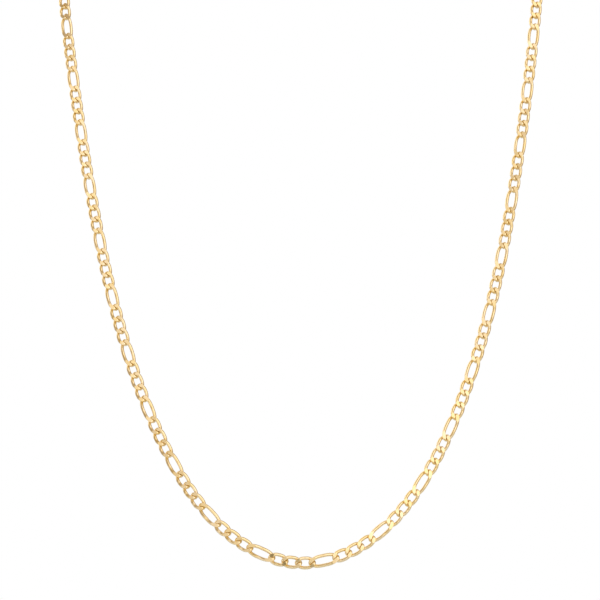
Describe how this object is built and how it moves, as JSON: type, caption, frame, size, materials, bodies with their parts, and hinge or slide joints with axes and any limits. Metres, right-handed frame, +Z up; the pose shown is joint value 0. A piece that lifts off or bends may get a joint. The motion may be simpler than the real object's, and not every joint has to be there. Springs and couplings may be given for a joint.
{
  "type": "figaro chain necklace",
  "caption": "Flat figaro chain necklace of interlocked curb links, three short and one long in turn, closed at the nape by a ring, a hook and a second ring.",
  "frame": {"origin": "on the neck's axis, level with the closure at the nape", "axes": "+Z up, along the neck; -Y to the front; +X to the viewer's right"},
  "size_m": [0.1071, 0.0852, 0.1509],
  "materials": {
    "gold": "polished pale yellow gold"
  },
  "bodies": {
    "root": {"chain_left": "gold", "chain_right": "gold", "ring_left": "gold", "clasp": "gold", "ring_right": "gold"}
  },
  "joints": []
}
